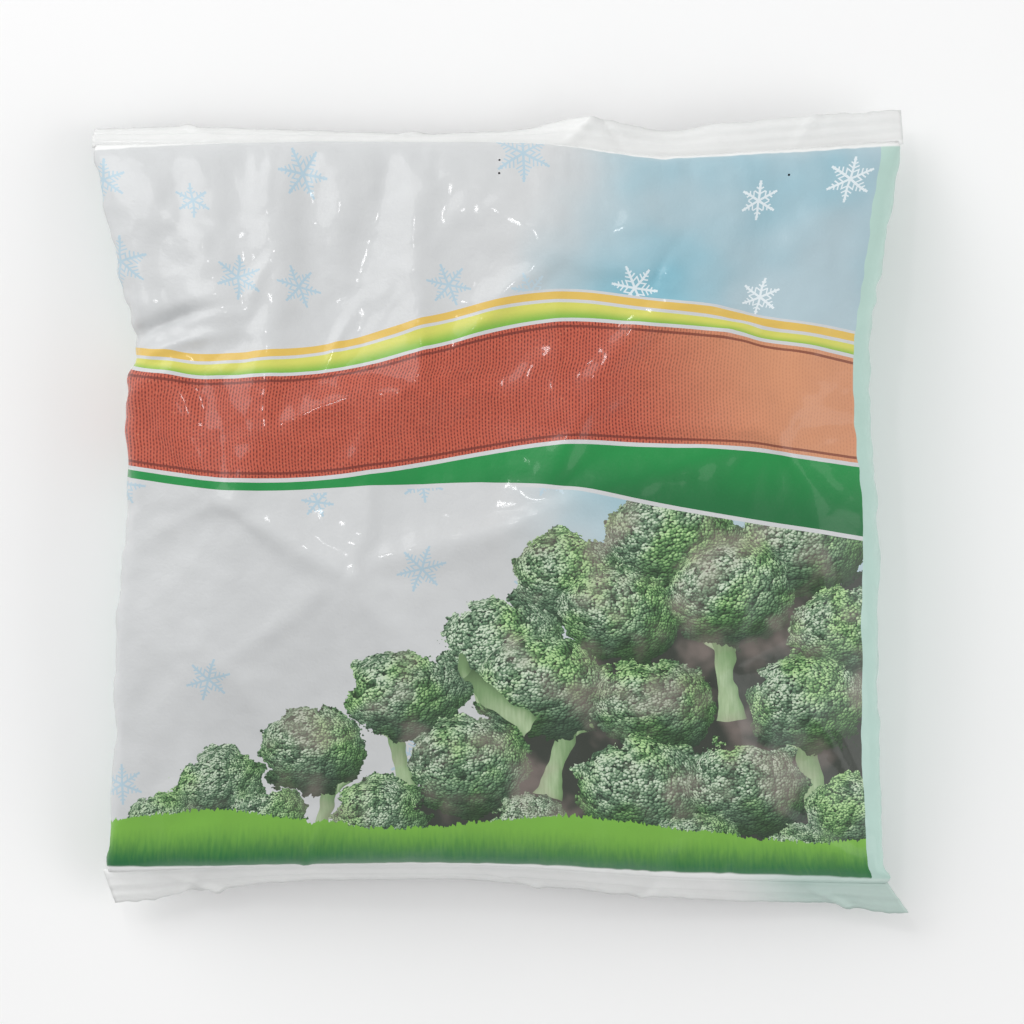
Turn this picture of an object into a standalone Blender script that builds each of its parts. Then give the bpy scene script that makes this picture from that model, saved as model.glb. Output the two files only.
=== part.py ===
"""Pillow bag of frozen broccoli florets, lying on its back with the printed face up.

One web of film is wrapped into a tube, sealed along the back in a fin that is folded
flat, and sealed across both ends. Broccoli florets lie loose inside. Metres, +Z up;
+Y runs towards the top seal and +X to the right of the printed face.
"""

import math

import bmesh
import bpy
import numpy as np
from mathutils import Matrix

# Film, end seals and the fin seal down the back, which lies in a shallow channel
FILM_WALL = 0.0008
SEAL_HEIGHT = 0.009
FIN_WIDTH = 0.0115
FIN_GAP = 0.0003
FIN_ROOM = 0.0010
CHANNEL_DEPTH = 2 * FILM_WALL + FIN_GAP

# Filled height of the pillow, and height of its widest line above the surface it lies on
CROWN_HEIGHT = 0.0560
SIDE_HEIGHT = 0.0215
SEAL_LINE_HEIGHT = 0.0165
CORNER_DROOP = 0.0045
HALF_WIDTH = 0.115

# Sides of the filled bag: share of the way up between the seals, x
LEFT_SIDE = [(0.0, -0.1115), (0.15, -0.1092), (0.31, -0.1088), (0.52, -0.1045),
             (0.66, -0.1050), (0.72, -0.1020), (0.78, -0.1046), (0.90, -0.1108), (1.0, -0.1150)]
RIGHT_SIDE = [(0.0, 0.1110), (0.12, 0.1088), (0.48, 0.1080), (0.74, 0.1060), (0.86, 0.1100), (1.0, 0.1150)]

# Where the end seals start (x, y), and how far down they lean from level (x, degrees)
TOP_LINE = [(-0.115, 0.1035), (-0.030, 0.1030), (0.018, 0.1026), (0.043, 0.0998), (0.080, 0.1016), (0.115, 0.1045)]
TOP_LEAN = [(-0.115, 60.0), (-0.087, 55.0), (-0.047, 64.0), (-0.010, 68.0), (0.008, 58.0),
            (0.029, 8.0), (0.043, 30.0), (0.075, 8.0), (0.115, 8.0)]
BOTTOM_LINE = [(-0.115, -0.1035), (-0.050, -0.1008), (0.0, -0.1012), (0.050, -0.1045), (0.115, -0.1068)]
BOTTOM_LEAN = [(-0.115, 5.0), (-0.085, 42.0), (-0.055, 55.0), (-0.020, 60.0), (0.020, 53.0),
               (0.068, 46.0), (0.098, 45.0), (0.115, 24.0)]

LEAN_START = 0.0045  # a seal reaches its full lean this far out

# How far the corners of the cut edges stand out past the sides: left, right
TOP_FLARE = (0.0, -0.0005)
BOTTOM_FLARE = (0.0030, 0.0060)

# Shape of the filling: how fast it rises from the seals and from the sides
RISE_POWER = 2.4
RISE_ROUND = 0.62
RISE_SHIFT = 0.10
ACROSS_POWER = 2.2
ACROSS_ROUND = 0.55
BASE_SPREAD = 1.32
FIN_FADE = 0.35

# Creases that stand up from the film: start, end, height, half width
CREASES = [((-0.108, 0.094), (-0.072, 0.066), 0.0024, 0.0050),
           ((-0.098, 0.052), (-0.066, 0.060), 0.0034, 0.0045),
           ((-0.104, 0.030), (-0.078, 0.042), 0.0020, 0.0050),
           ((0.106, 0.094), (0.078, 0.070), 0.0024, 0.0050),
           ((0.102, 0.058), (0.070, 0.050), 0.0016, 0.0060),
           ((0.104, -0.094), (0.076, -0.066), 0.0026, 0.0050),
           ((-0.106, -0.092), (-0.074, -0.068), 0.0026, 0.0055),
           ((-0.090, -0.096), (-0.062, -0.080), 0.0016, 0.0050),
           ((0.088, -0.020), (0.103, -0.052), 0.0018, 0.0050),
           ((0.043, 0.096), (0.036, 0.070), 0.0022, 0.0050)]

# Pleats that run from each end seal into the body
PLEAT_HEIGHT = 0.0015
PLEAT_PITCH = 0.0215
PLEAT_REACH = 0.020
PLEAT_START = 0.006

# Air vents pricked through the front film: x, y
VENTS = [(0.0006, 0.0975), (0.0006, 0.0935), (0.0815, 0.0930)]
VENT_RADIUS = 0.0007
VENT_REACH = 0.010

# Mesh density, and how evenly the columns and rows are spread from the middle to the rim
FRONT_CELLS = 40
BODY_ROWS = 34
SEAL_ROWS = 3
INNER_COLUMNS = 18
INNER_ROWS = 24
RIM_INSET = 0.0024
EVENNESS = 0.3

# Florets: crown radius, stalk length, stalk radius, rings of bud knobs as (count, tilt in degrees, size)
FLORET_SHAPES = {
    "broad": (0.0225, 0.0250, 0.0062, [(1, 0, 0.48), (6, 62, 0.46)]),
    "round": (0.0195, 0.0220, 0.0056, [(1, 0, 0.52), (5, 58, 0.52)]),
    "split": (0.0180, 0.0260, 0.0050, [(3, 34, 0.50), (4, 84, 0.40)]),
}
FLORET_COUNT = 24
FLORET_SIZES = (1.12, 0.84)
FLORET_SEED = 7
FLORET_TRIES = 2500
FLORET_GAP = 0.0010
FLORET_TILT = 35.0
FLORET_PLACES = (0.098, 0.094)
FLORET_SIDES = 12
CROWN_RINGS = 8
CROWN_ANGLES = (118.0, 9.0)
CROWN_CORE = 0.62
KNOB_SEAT = 0.60
DOME_FLATTEN = 0.72

# Stalk sections from the cut foot to the crown: share of its length, share of its radius, rib depth
STALK_SECTIONS = [(1.0, 0.92, 0.04), (0.72, 0.88, 0.06), (0.42, 1.05, 0.14), (0.20, 1.55, 0.24)]
STALK_RIBS = 4

# A floret that nearly reaches the front film presses a soft bump into it
PRESS_REACH = 0.012
PRESS_HEIGHT = 0.0026
PRESS_RADIUS = 0.017

FILM_COLOUR = (0.80, 0.82, 0.82, 1.0)
FLORET_COLOUR = (0.09, 0.22, 0.06, 1.0)


def clear_scene():
    for obj in list(bpy.data.objects):
        bpy.data.objects.remove(obj, do_unlink=True)


def make_material(name, colour, roughness):
    material = bpy.data.materials.new(name)
    material.use_nodes = True
    shader = material.node_tree.nodes["Principled BSDF"]
    shader.inputs["Base Color"].default_value = colour
    shader.inputs["Roughness"].default_value = roughness
    shader.inputs["Metallic"].default_value = 0.0
    return material


def smooth_curve(points):
    """A function through the points, with the slope at each taken from its neighbours."""
    at, value = (np.array(column, float) for column in zip(*points))
    slope = np.gradient(value, at)

    def curve(where):
        where = np.clip(np.asarray(where, float), at[0], at[-1])
        k = np.clip(np.searchsorted(at, where) - 1, 0, len(at) - 2)
        span = at[k + 1] - at[k]
        s = (where - at[k]) / span
        rise = value[k] * (1 + 2 * s) * (1 - s) ** 2 + value[k + 1] * s * s * (3 - 2 * s)
        lean = slope[k] * s * (1 - s) ** 2 - slope[k + 1] * s * s * (1 - s)
        return rise + span * lean

    return curve


left_side, right_side = smooth_curve(LEFT_SIDE), smooth_curve(RIGHT_SIDE)
top_line, bottom_line = smooth_curve(TOP_LINE), smooth_curve(BOTTOM_LINE)
TOP_END = (top_line, smooth_curve(TOP_LEAN), 1, TOP_FLARE)
BOTTOM_END = (bottom_line, smooth_curve(BOTTOM_LEAN), -1, BOTTOM_FLARE)


def plan_point(across, along, inset=0.0):
    """x, y at a share across (-1 to 1) and along (0 to 1) the body between the seals."""
    low, high = left_side(along) + inset, right_side(along) - inset
    x = (low + high) / 2 + across * (high - low) / 2
    start, end = bottom_line(x) + inset, top_line(x) - inset
    return x, start + along * (end - start)


def plan_share(x, y, inset=0.0):
    """The shares across and along of a point given by x, y."""
    start, end = bottom_line(x) + inset, top_line(x) - inset
    along = np.clip((y - start) / (end - start), 0, 1)
    low, high = left_side(along) + inset, right_side(along) - inset
    return np.clip((2 * x - low - high) / (high - low), -1, 1), along


def lengthways_fill(along):
    """How full the pillow is there: 1 at its fullest, 0 at the seals."""
    reach = 2 * along - 1
    reach = reach - RISE_SHIFT * (1 - reach * reach)
    return np.maximum(0, 1 - np.abs(reach) ** RISE_POWER) ** RISE_ROUND


def crossways_fill(across):
    return np.maximum(0, 1 - np.abs(across) ** ACROSS_POWER) ** ACROSS_ROUND


def seal_line_height(x):
    return SEAL_LINE_HEIGHT - CORNER_DROOP * (x / HALF_WIDTH) ** 2


def middle_height(x, y):
    """Height of the sheet that halves the pillow and joins its widest line to the seals."""
    _, along = plan_share(x, y)
    at_seal = seal_line_height(x)
    return at_seal + (SIDE_HEIGHT - at_seal) * lengthways_fill(along)


def front_height(x, y, wall=FILM_WALL, inset=0.0):
    """Height of the front film's outer face, or of its inner face where wall is 0."""
    across, along = plan_share(x, y, inset)
    crown = CROWN_HEIGHT - SIDE_HEIGHT - FILM_WALL
    return middle_height(x, y) + wall + crown * lengthways_fill(along) * crossways_fill(across)


def back_height(x, y, wall=FILM_WALL, inset=0.0):
    """Height of the back film's outer face, which is flat where the filling rests on it."""
    across, along = plan_share(x, y, inset)
    pressed = np.minimum(1, BASE_SPREAD * lengthways_fill(along) ** 0.8 * crossways_fill(across))
    return FILM_WALL - wall + (middle_height(x, y) - FILM_WALL) * (1 - pressed) ** 2


def pleats(x, y):
    raised = 0
    for line, _, sign, _ in (TOP_END, BOTTOM_END):
        depth = np.maximum(0, sign * (line(x) - y))
        fade = np.exp(-depth / PLEAT_REACH) * (1 - np.exp(-depth / PLEAT_START))
        drift = 1.4 * np.sin(31.0 * x + sign) + 0.7 * np.sin(83.0 * x)
        raised = raised + PLEAT_HEIGHT * fade * (1 + np.cos(2 * math.pi * x / PLEAT_PITCH + drift))
    return raised


def creases(x, y):
    raised = 0
    for start, end, height, half_width in CREASES:
        run = (end[0] - start[0], end[1] - start[1])
        length = math.hypot(*run)
        s = ((x - start[0]) * run[0] + (y - start[1]) * run[1]) / length ** 2
        off = ((x - start[0]) * run[1] - (y - start[1]) * run[0]) / length
        window = np.clip(1 - (2 * s - 1) ** 2, 0, 1)
        raised = raised + height * window * np.exp(-(off / half_width) ** 2)
    return raised


def bumps(x, y, presses):
    raised = 0
    for press_x, press_y, strength in presses:
        distance = np.hypot(x - press_x, y - press_y)
        raised = raised + PRESS_HEIGHT * strength * np.exp(-(distance / PRESS_RADIUS) ** 2)
    return raised


def spread(count):
    """Shares from -1 to 1, closer together towards both ends."""
    s = np.linspace(-1, 1, count + 1)
    return EVENNESS * s + (1 - EVENNESS) * np.sin(math.pi / 2 * s)


def fin_columns():
    """Outline of the back at the fin, right to left: x, 1 where the channel lifts it, how far it lies below."""
    return [(FIN_WIDTH + FIN_ROOM + FIN_GAP, 0, 0.0), (FIN_WIDTH + FIN_ROOM, 1, 0.0),
            (FIN_ROOM, 1, 0.0), (FIN_ROOM, 1, FIN_GAP), (FIN_WIDTH, 1, FIN_GAP),
            (FIN_WIDTH, 1, CHANNEL_DEPTH), (0.0, 1, CHANNEL_DEPTH), (-FIN_ROOM, 0, 0.0)]


def ring_columns(low, high):
    """x of the front, left to right, and x, lift and drop of the back, right to left."""
    front_x = (low + high) / 2 + spread(FRONT_CELLS) * (high - low) / 2
    fin = np.array(fin_columns())
    middle = FRONT_CELLS // 2
    right, left = front_x[middle + 2:][::-1], front_x[:middle][::-1]
    back_x = np.concatenate([right, fin[:, 0], left])
    lift, drop = np.zeros(len(back_x)), np.zeros(len(back_x))
    lift[len(right):len(right) + len(fin)] = fin[:, 1]
    drop[len(right):len(right) + len(fin)] = fin[:, 2]
    return front_x, back_x, lift, drop


def body_ring(along, presses):
    """One outline round the filled body: the front left to right, then the back right to left."""
    low, high = float(left_side(along)), float(right_side(along))
    front_x, back_x, lift, drop = ring_columns(low, high)
    across = (2 * front_x - low - high) / (high - low)
    _, front_y = plan_point(across, along)
    _, back_y = plan_point((2 * back_x - low - high) / (high - low), along)
    relief = pleats(front_x, front_y) + creases(front_x, front_y) + bumps(front_x, front_y, presses)
    front_z = front_height(front_x, front_y) + (1 - np.abs(across) ** 12) * relief
    sunk = min(1.0, float(lengthways_fill(along)) / FIN_FADE)
    back_z = back_height(back_x, back_y) + lift * sunk * CHANNEL_DEPTH - drop
    return np.concatenate([np.stack([front_x, front_y, front_z], 1), np.stack([back_x, back_y, back_z], 1)])


def seal_points(x, below, end, out):
    """Points of the end seal, out metres from where it starts and below metres under its middle."""
    line, lean, sign, _ = end
    tilt = np.radians(lean(x)) * min(1.0, out / LEAN_START)
    y = line(x) + sign * (out * np.cos(tilt) - below * np.sin(tilt))
    z = seal_line_height(x) - out * np.sin(tilt) - below * np.cos(tilt)
    return np.stack([x, y, z], 1)


def seal_ring(end, out):
    """One outline round an end seal, in the order of body_ring."""
    at_end = (end[2] + 1) / 2
    low, high = (float(side(at_end)) + flare * out / SEAL_HEIGHT
                 for side, flare in zip((left_side, right_side), end[3]))
    front_x, back_x, _, drop = ring_columns(low, high)
    front = seal_points(front_x, np.full(len(front_x), -FILM_WALL), end, out)
    return np.concatenate([front, seal_points(back_x, FILM_WALL + drop, end, out)])


def cap_corners():
    """Triangles that fill the cut end of a seal, as places in its ring."""
    front_x, back_x, lift, _ = ring_columns(-HALF_WIDTH, HALF_WIDTH)
    x = np.concatenate([front_x, back_x])
    fin = len(front_x) + int(np.argmax(lift)) - 1
    roof, top_left, top_right, foot_right, foot_left, skin = range(fin + 2, fin + 8)
    upper = list(range(len(front_x)))
    lower = list(range(len(front_x), roof + 1)) + list(range(skin, len(x)))
    lower.reverse()
    corners = [(top_left, top_right, foot_right), (top_left, foot_right, foot_left),
               (roof, top_left, foot_left), (roof, foot_left, skin)]
    i = j = 0
    while i + 1 < len(upper) or j + 1 < len(lower):
        step_up = j + 1 == len(lower) or (i + 1 < len(upper) and x[upper[i + 1]] <= x[lower[j + 1]])
        if step_up:
            corners.append((upper[i], lower[j], upper[i + 1]))
            i += 1
        else:
            corners.append((upper[i], lower[j], lower[j + 1]))
            j += 1
    return corners


def outer_surface(mesh, presses):
    steps = [SEAL_HEIGHT * (k + 1) / SEAL_ROWS for k in range(SEAL_ROWS)]
    outlines = [seal_ring(BOTTOM_END, out) for out in reversed(steps)]
    outlines += [body_ring(float(along), presses) for along in (spread(BODY_ROWS) + 1) / 2]
    outlines += [seal_ring(TOP_END, out) for out in steps]
    rings = [[mesh.verts.new(point) for point in outline] for outline in outlines]
    for low, high in zip(rings, rings[1:]):
        for k in range(len(low)):
            after = (k + 1) % len(low)
            mesh.faces.new((low[k], low[after], high[after], high[k]))
    for corners in cap_corners():
        mesh.faces.new([rings[0][k] for k in corners])
        mesh.faces.new([rings[-1][k] for k in reversed(corners)])
    bmesh.ops.recalc_face_normals(mesh, faces=mesh.faces)


def ceiling(x, y):
    """Height of the front film's inner face."""
    return front_height(x, y, 0.0, RIM_INSET) - 0.25 * FILM_WALL


def floor(x, y):
    """Height of the back film's inner face, which rises over the channel of the fin."""
    beside = np.clip((np.abs(x - FIN_WIDTH / 2) - FIN_WIDTH) / (0.5 * FIN_WIDTH), 0, 1)
    return back_height(x, y, 0.0, RIM_INSET) + CHANNEL_DEPTH * (1 - beside) + 0.25 * FILM_WALL


def inner_surface(mesh):
    """The space inside the film: two height fields that meet all round their rim."""
    columns, rows = spread(INNER_COLUMNS), (spread(INNER_ROWS) + 1) / 2
    front, back, faces = {}, {}, []
    for j, along in enumerate(rows):
        for k, across in enumerate(columns):
            x, y = (float(value) for value in plan_point(across, along, RIM_INSET))
            at_rim = j in (0, INNER_ROWS) or k in (0, INNER_COLUMNS)
            high = middle_height(x, y) if at_rim else ceiling(x, y)
            front[j, k] = mesh.verts.new((x, y, float(high)))
            back[j, k] = front[j, k] if at_rim else mesh.verts.new((x, y, float(floor(x, y))))
    for j in range(INNER_ROWS):
        for k in range(INNER_COLUMNS):
            for grid in (front, back):
                faces.append(mesh.faces.new((grid[j, k], grid[j, k + 1], grid[j + 1, k + 1], grid[j + 1, k])))
    bmesh.ops.recalc_face_normals(mesh, faces=faces)
    bmesh.ops.reverse_faces(mesh, faces=faces)


def new_object(name, mesh, matrix=Matrix.Identity(4)):
    data = bpy.data.meshes.new(name)
    mesh.to_mesh(data)
    mesh.free()
    obj = bpy.data.objects.new(name, data)
    obj.matrix_world = matrix
    bpy.context.scene.collection.objects.link(obj)
    return obj


def make_vent_cutters():
    cutters = bpy.data.collections.new("vent_cutters")
    bpy.context.scene.collection.children.link(cutters)
    for k, (x, y) in enumerate(VENTS):
        mesh = bmesh.new()
        bmesh.ops.create_cone(mesh, cap_ends=True, segments=6, radius1=VENT_RADIUS, radius2=VENT_RADIUS,
                              depth=VENT_REACH)
        cutter = new_object(f"vent_cutter_{k}", mesh, Matrix.Translation((x, y, float(front_height(x, y)))))
        bpy.context.scene.collection.objects.unlink(cutter)
        cutters.objects.link(cutter)
        cutter.hide_render = True
        cutter.display_type = "WIRE"
    return cutters


def make_film(presses):
    mesh = bmesh.new()
    outer_surface(mesh, presses)
    inner_surface(mesh)
    film = new_object("film", mesh)
    film.data.shade_smooth()
    film.data.set_sharp_from_angle(angle=math.radians(50))
    film.data.materials.append(make_material("printed_film", FILM_COLOUR, 0.3))
    vents = film.modifiers.new("vents", "BOOLEAN")
    vents.operation = "DIFFERENCE"
    vents.operand_type = "COLLECTION"
    vents.collection = make_vent_cutters()
    return film


def knob_places(shape):
    """Centres and radii of the bud knobs, round a crown whose middle is at the origin."""
    radius, _, _, rings = FLORET_SHAPES[shape]
    centres, sizes = [], []
    for ring, (count, tilt, size) in enumerate(rings):
        lean = math.radians(tilt)
        for k in range(count):
            turn = 2 * math.pi * (k + 0.5 * ring) / count
            centres.append((math.sin(lean) * math.cos(turn), math.sin(lean) * math.sin(turn),
                            DOME_FLATTEN * math.cos(lean)))
            sizes.append(size * radius)
    return KNOB_SEAT * radius * np.array(centres), np.array(sizes)


def crown_reach(shape, direction):
    """How far the crown's surface lies from its middle in a direction."""
    centres, sizes = knob_places(shape)
    towards = centres @ direction
    inside = towards ** 2 - (centres ** 2).sum(1) + sizes ** 2
    reach = np.where(inside > 0, towards + np.sqrt(np.maximum(inside, 0)), 0)
    return max(float(reach.max()), CROWN_CORE * FLORET_SHAPES[shape][0])


def floret_rings(shape):
    """Outlines from the cut foot of the stalk, over its ribs, to the top of the crown."""
    _, stalk_length, stalk_radius, _ = FLORET_SHAPES[shape]
    turns = 2 * math.pi * np.arange(FLORET_SIDES) / FLORET_SIDES
    rings = []
    for share, width, rib in STALK_SECTIONS:
        reach = stalk_radius * width * (1 + rib * np.cos(STALK_RIBS * turns))
        rings.append(np.stack([reach * np.cos(turns), reach * np.sin(turns), 0 * turns - share * stalk_length], 1))
    for angle in np.radians(np.linspace(*CROWN_ANGLES, CROWN_RINGS)):
        around = [np.array((math.sin(angle) * math.cos(turn), math.sin(angle) * math.sin(turn), math.cos(angle)))
                  for turn in turns]
        rings.append(np.array([crown_reach(shape, direction) * direction for direction in around]))
    return rings


def floret_mesh(shape):
    """One floret: a ribbed stalk that widens into a domed crown of bud knobs."""
    mesh = bmesh.new()
    rings = [[mesh.verts.new(point) for point in ring] for ring in floret_rings(shape)]
    for low, high in zip(rings, rings[1:]):
        for k in range(FLORET_SIDES):
            after = (k + 1) % FLORET_SIDES
            mesh.faces.new((low[k], low[after], high[after], high[k]))
    mesh.faces.new(rings[0][::-1])
    mesh.faces.new(rings[-1])
    bmesh.ops.recalc_face_normals(mesh, faces=mesh.faces)
    data = bpy.data.meshes.new("floret_" + shape)
    mesh.to_mesh(data)
    mesh.free()
    data.shade_smooth()
    data.set_sharp_from_angle(angle=math.radians(40))
    return data


def floret_spheres(shape):
    """Spheres that hold a floret, used to find where it comes to rest."""
    radius, stalk_length, stalk_radius, _ = FLORET_SHAPES[shape]
    centres, sizes = knob_places(shape)
    along_stalk = [(0, 0, stalk_radius - stalk_length), (0, 0, -0.65 * stalk_length), (0, 0, -0.35 * stalk_length)]
    centres = np.concatenate([centres, along_stalk, [(0, 0, -0.10 * radius)]])
    sizes = np.concatenate([sizes, [1.25 * stalk_radius] * 2, [1.5 * stalk_radius, CROWN_CORE * radius]])
    return centres, sizes


def upright_clearance(height, x, y, distance):
    """How far above or below a sloping surface a point must be to lie a given distance from it."""
    step = 0.001
    rise_x = (height(x + step, y) - height(x - step, y)) / (2 * step)
    rise_y = (height(x, y + step) - height(x, y - step)) / (2 * step)
    return distance * np.sqrt(1 + rise_x ** 2 + rise_y ** 2)


def random_turns(draw, count):
    """Rotations that lay a floret on its side, give or take a tilt, at any heading and roll."""
    lean = np.radians(90 + draw.uniform(-FLORET_TILT, FLORET_TILT, count))
    heading, roll = draw.uniform(0, 2 * math.pi, (2, count))
    zero, one = np.zeros(count), np.ones(count)

    def about_z(angle):
        c, s = np.cos(angle), np.sin(angle)
        return np.stack([c, -s, zero, s, c, zero, zero, zero, one], 1).reshape(-1, 3, 3)

    c, s = np.cos(lean), np.sin(lean)
    about_x = np.stack([one, zero, zero, zero, c, -s, zero, s, c], 1).reshape(-1, 3, 3)
    return about_z(heading) @ about_x @ about_z(roll)


def lay_floret(draw, shape, size, settled, settled_sizes):
    """The lowest rest among many tried places: its rotation, place and spheres, or None."""
    local, sizes = floret_spheres(shape)
    sizes = sizes * size
    turns = random_turns(draw, FLORET_TRIES)
    places = draw.uniform(-1, 1, (FLORET_TRIES, 2)) * FLORET_PLACES
    spheres = size * np.einsum("tij,sj->tsi", turns, local)
    spheres[:, :, :2] += places[:, None]
    x, y = spheres[:, :, 0], spheres[:, :, 1]
    keep = sizes + FLORET_GAP
    rest = (floor(x, y) + upright_clearance(floor, x, y, keep) - spheres[:, :, 2]).max(1)
    if len(settled):
        apart = np.hypot(x[:, :, None] - settled[:, 0], y[:, :, None] - settled[:, 1])
        touch = keep[:, None] + settled_sizes
        above = settled[:, 2] + np.sqrt(np.maximum(0, touch ** 2 - apart ** 2)) - spheres[:, :, 2:3]
        rest = np.maximum(rest, np.where(apart < touch, above, -1).max((1, 2)))
    spheres[:, :, 2] += rest[:, None]
    room = ceiling(x, y) - upright_clearance(ceiling, x, y, keep) - spheres[:, :, 2]
    allowed = (np.abs(plan_share(x, y)[0]) < 0.98).all(1) & (room > 0).all(1)
    if not allowed.any():
        return None
    best = int(np.argmin(np.where(allowed, spheres[:, :, 2].mean(1), np.inf)))
    return turns[best], (*places[best], rest[best]), spheres[best], sizes


def lay_florets():
    """Fills the bag with florets, the largest first, each where it rests lowest."""
    draw = np.random.default_rng(FLORET_SEED)
    names = list(FLORET_SHAPES)
    settled, settled_sizes, laid = np.zeros((0, 3)), np.zeros(0), []
    for n, size in enumerate(np.linspace(*FLORET_SIZES, FLORET_COUNT)):
        shape = names[n % len(names)]
        found = lay_floret(draw, shape, size, settled, settled_sizes)
        if found is None:
            continue
        turn, place, spheres, sizes = found
        settled, settled_sizes = np.concatenate([settled, spheres]), np.concatenate([settled_sizes, sizes])
        laid.append((shape, size, turn, place, spheres, sizes))
    return laid


def front_presses(laid):
    """Where each floret comes near the front film, and how hard it presses: x, y, strength."""
    presses = []
    for *_, spheres, sizes in laid:
        room = ceiling(spheres[:, 0], spheres[:, 1]) - spheres[:, 2] - sizes
        nearest = int(np.argmin(room))
        if room[nearest] < PRESS_REACH:
            presses.append((spheres[nearest, 0], spheres[nearest, 1], 1 - room[nearest] / PRESS_REACH))
    return presses


def make_florets(laid):
    material = make_material("broccoli", FLORET_COLOUR, 0.8)
    meshes = {shape: floret_mesh(shape) for shape in FLORET_SHAPES}
    for data in meshes.values():
        data.materials.append(material)
    for n, (shape, size, turn, place, *_) in enumerate(laid, start=1):
        obj = bpy.data.objects.new(f"floret_{n:02d}", meshes[shape])
        obj.matrix_world = Matrix.Translation(place) @ Matrix(turn.tolist()).to_4x4() @ Matrix.Scale(size, 4)
        bpy.context.scene.collection.objects.link(obj)


def rest_on_origin(film):
    """Moves the whole bag so that the bottom centre of its box is the origin."""
    corners = np.array(film.bound_box)
    low, high = corners.min(0), corners.max(0)
    shift = Matrix.Translation((-(low[0] + high[0]) / 2, -(low[1] + high[1]) / 2, -low[2]))
    for obj in bpy.data.objects:
        obj.matrix_world = shift @ obj.matrix_world


def main():
    clear_scene()
    laid = lay_florets()
    make_florets(laid)
    rest_on_origin(make_film(front_presses(laid)))


main()
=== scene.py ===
import math

import bmesh
import bpy
import numpy as np
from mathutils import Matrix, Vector, noise
from mathutils.bvhtree import BVHTree


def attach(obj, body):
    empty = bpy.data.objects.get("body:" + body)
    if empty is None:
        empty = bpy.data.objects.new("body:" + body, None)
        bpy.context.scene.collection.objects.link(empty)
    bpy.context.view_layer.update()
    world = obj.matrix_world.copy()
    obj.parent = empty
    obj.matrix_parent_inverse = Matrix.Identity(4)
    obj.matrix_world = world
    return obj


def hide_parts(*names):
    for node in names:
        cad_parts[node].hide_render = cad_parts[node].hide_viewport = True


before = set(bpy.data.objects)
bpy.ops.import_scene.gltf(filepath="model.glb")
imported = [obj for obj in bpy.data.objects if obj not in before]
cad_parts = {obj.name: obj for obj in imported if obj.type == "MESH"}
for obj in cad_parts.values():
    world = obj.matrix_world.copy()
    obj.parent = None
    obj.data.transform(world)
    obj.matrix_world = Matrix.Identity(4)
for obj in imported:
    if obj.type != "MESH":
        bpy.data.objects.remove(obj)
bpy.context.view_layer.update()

scene = bpy.context.scene
scene.view_settings.view_transform = "Standard"

# The bag's film: a web 460 mm round, sealed at both ends. Lengths are in metres.
bag = dict(halfWidth=0.115, bodyLength=0.228, sealHeight=0.009, sealOverlap=0.0012,
           sealLineHeight=0.0165, cornerDroop=0.0045, leanStart=0.0045,
           shift=(-0.001, 0.00093))

# Each end seal: its line (x, y), its lean (x, degrees), its ends' x and how far they flare, and
# the small folds across it: x, slant, width, height
topEnd = dict(
    sign=1, low=-0.115, high=0.115, flare=(0.0, -0.0005),
    line=[(-0.115, 0.1035), (-0.030, 0.1030), (0.018, 0.1026), (0.043, 0.0998),
          (0.080, 0.1016), (0.115, 0.1045)],
    lean=[(-0.115, 60.0), (-0.087, 55.0), (-0.047, 64.0), (-0.010, 68.0), (0.008, 58.0),
          (0.029, 8.0), (0.043, 30.0), (0.075, 8.0), (0.115, 8.0)],
    folds=[(0.019, 0.9, 0.0020, 0.0013), (0.037, -0.8, 0.0018, -0.0011),
           (-0.034, 1.2, 0.0024, 0.0009), (-0.079, -1.0, 0.0022, 0.0008),
           (0.084, 0.7, 0.0020, 0.0008)])
bottomEnd = dict(
    sign=-1, low=-0.1115, high=0.1110, flare=(0.0030, 0.0060),
    line=[(-0.115, -0.1035), (-0.050, -0.1008), (0.0, -0.1012), (0.050, -0.1045),
          (0.115, -0.1068)],
    lean=[(-0.115, 5.0), (-0.085, 42.0), (-0.055, 55.0), (-0.020, 60.0), (0.020, 53.0),
          (0.068, 46.0), (0.098, 45.0), (0.115, 24.0)],
    folds=[(-0.098, 1.4, 0.0022, 0.0016), (-0.088, -0.6, 0.0020, -0.0010),
           (-0.006, 1.5, 0.0020, 0.0010), (0.047, -1.1, 0.0024, 0.0010),
           (0.089, 0.9, 0.0022, 0.0016)])

# The cloth simulation runs at ten times real size, where the solver is steadier
clothRun = dict(scale=10.0, cell=0.0025, frames=45, pressure=1.4, bending=0.25, stiffness=90,
                quality=8, mass=0.1, airDamping=2.0, damping=15, bendDamping=0.5, keepApart=0.008,
                sideHold=0.7, skinsApart=0.0005, floorHalf=4.0, contentLift=0.0045,
                contentSkin=0.01, contentInside=0.1, friction=5)

# How the grid is laid on the CAD film: pairs of rays from above and below, and the heights that
# hold where both rays of a pair miss
laying = dict(above=0.2, below=-0.1, besides=(-0.0012, 0.0012), frontMissed=0.020,
              backMissed=0.0144, backLift=0.0006, band=0.006, inset=0.0002)

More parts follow.
